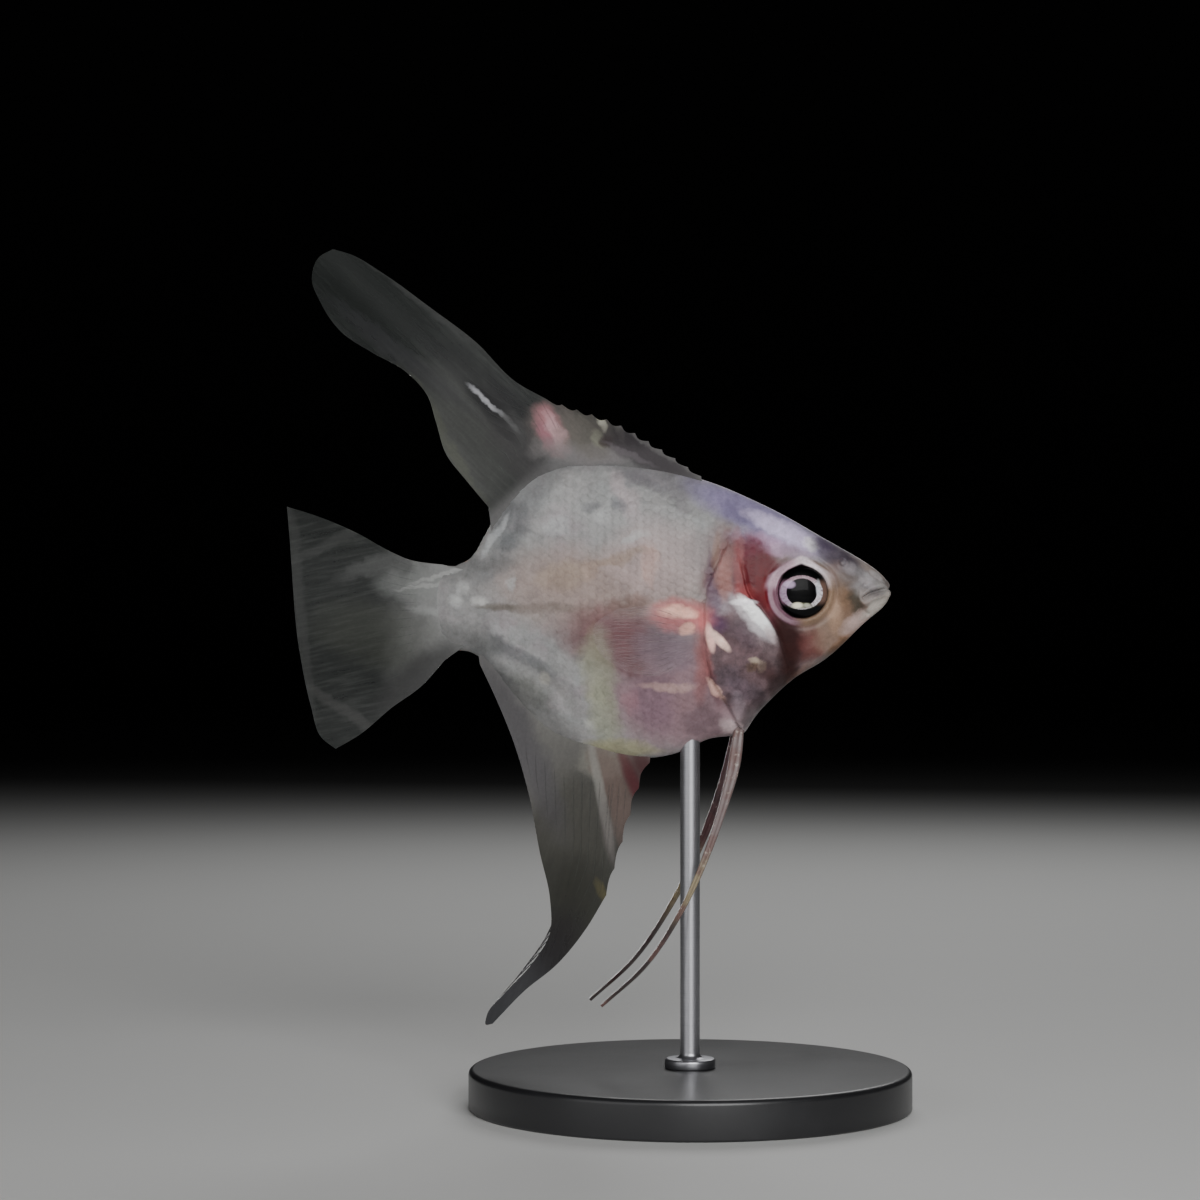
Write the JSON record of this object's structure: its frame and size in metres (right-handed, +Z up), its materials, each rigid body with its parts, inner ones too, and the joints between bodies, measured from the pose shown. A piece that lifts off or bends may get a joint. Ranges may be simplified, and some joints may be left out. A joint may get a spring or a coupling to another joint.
{
  "type": "freshwater angelfish display model",
  "caption": "Life-size still model of a juvenile freshwater angelfish with pale, translucent skin, held on a plain round stand by a short rod.",
  "frame": {"origin": "centre of the stand base's underside, straight below the rod", "axes": "+X towards the fish's snout, +Y towards its left flank, +Z up"},
  "size_m": [0.0791, 0.056, 0.1086],
  "materials": {
    "skin": "satin, milky and slightly translucent, finely scaled",
    "eye": "gloss, black pupil in a silver iris",
    "fin": "satin, smoky translucent membrane with fine rays",
    "feeler": "satin, pinkish white",
    "stand": "satin black",
    "rod": "fine brushed"
  },
  "bodies": {
    "root": {"head": "skin", "lower_jaw": "skin", "gill_cover_right": "skin", "gill_cover_left": "skin", "trunk": "skin", "tail_peduncle": "skin", "eye_right": "eye", "eye_left": "eye", "dorsal_fin": "fin", "anal_fin": "fin", "caudal_fin": "fin", "pectoral_fin_right": "fin", "pectoral_fin_left": "fin", "pelvic_fin_right": "feeler", "pelvic_fin_left": "feeler", "stand_base": "stand", "stand_rod": "rod"}
  },
  "joints": []
}
